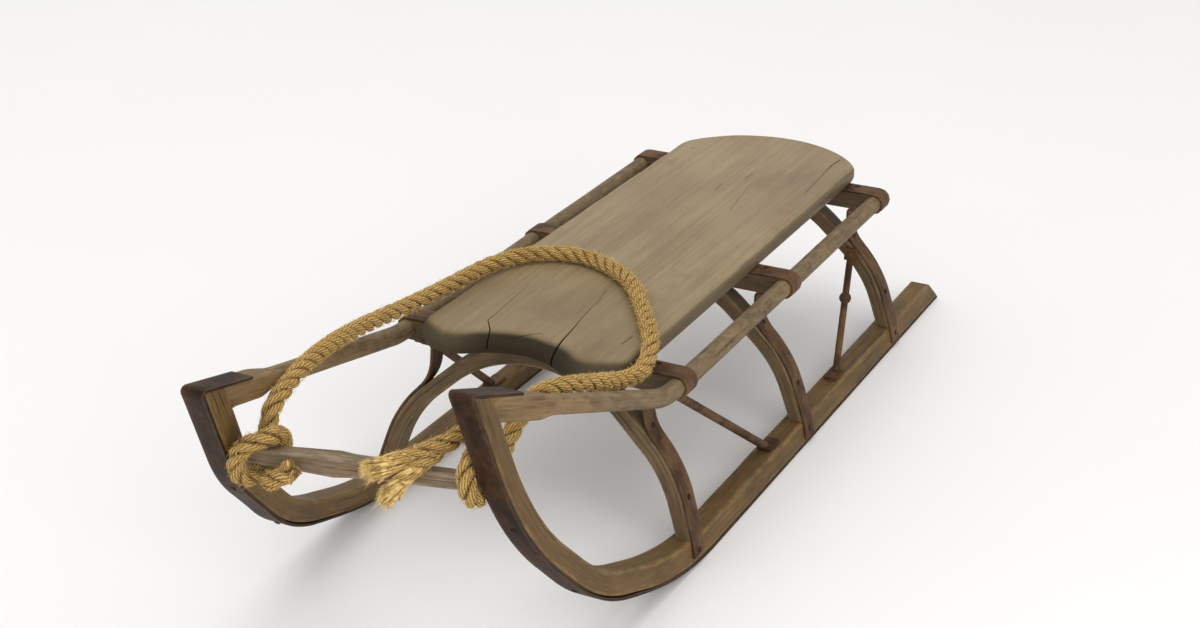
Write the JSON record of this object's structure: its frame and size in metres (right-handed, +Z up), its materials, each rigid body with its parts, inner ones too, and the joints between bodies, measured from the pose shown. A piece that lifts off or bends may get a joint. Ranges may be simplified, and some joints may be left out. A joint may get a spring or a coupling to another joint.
{
  "type": "wooden sled",
  "caption": "Antique bentwood child's sled with iron-shod curled runners, arched bows, side rails, a plank seat, iron straps and a three-strand pull rope",
  "frame": {"origin": "middle of the footprint on the floor, X = 0 on the middle plane of the sled", "axes": "+Z up, -Y towards the curled fronts of the runners, +X to the rider's left"},
  "size_m": [0.3718, 1.0846, 0.307],
  "materials": {
    "bent_wood": "weathered, worn varnish",
    "bar_wood": "weathered, dark",
    "seat_wood": "weathered grey-brown, worn smooth",
    "shoe_iron": "rusted, rubbed",
    "strap_iron": "rusted",
    "rope_fibre": "three-strand natural fibre"
  },
  "bodies": {
    "root": {"bow_front": "bent_wood", "bow_middle": "bent_wood", "bow_rear": "bent_wood", "bow_strap_front_left": "strap_iron", "bow_strap_front_right": "strap_iron", "bow_strap_middle_left": "strap_iron", "bow_strap_middle_right": "strap_iron", "bow_strap_rear_left": "strap_iron", "bow_strap_rear_right": "strap_iron", "brace_left": "strap_iron", "brace_right": "strap_iron", "crossbar_front": "bar_wood", "crossbar_middle": "bar_wood", "crossbar_rear": "bar_wood", "front_bar": "bar_wood", "rail_left": "bent_wood", "rail_right": "bent_wood", "rail_strap_front_left": "strap_iron", "rail_strap_front_right": "strap_iron", "rail_strap_middle_left": "strap_iron", "rail_strap_middle_right": "strap_iron", "rail_strap_rear_left": "strap_iron", "rail_strap_rear_right": "strap_iron", "rod_left": "strap_iron", "rod_right": "strap_iron", "rope": "rope_fibre", "rope_knot_left": "rope_fibre", "rope_knot_right": "rope_fibre", "rope_tail_left_lower": "rope_fibre", "rope_tail_left_upper": "rope_fibre", "rope_tail_right": "rope_fibre", "runner_left": "bent_wood", "runner_right": "bent_wood", "seat": "seat_wood", "shoe_left": "shoe_iron", "shoe_right": "shoe_iron"}
  },
  "joints": []
}
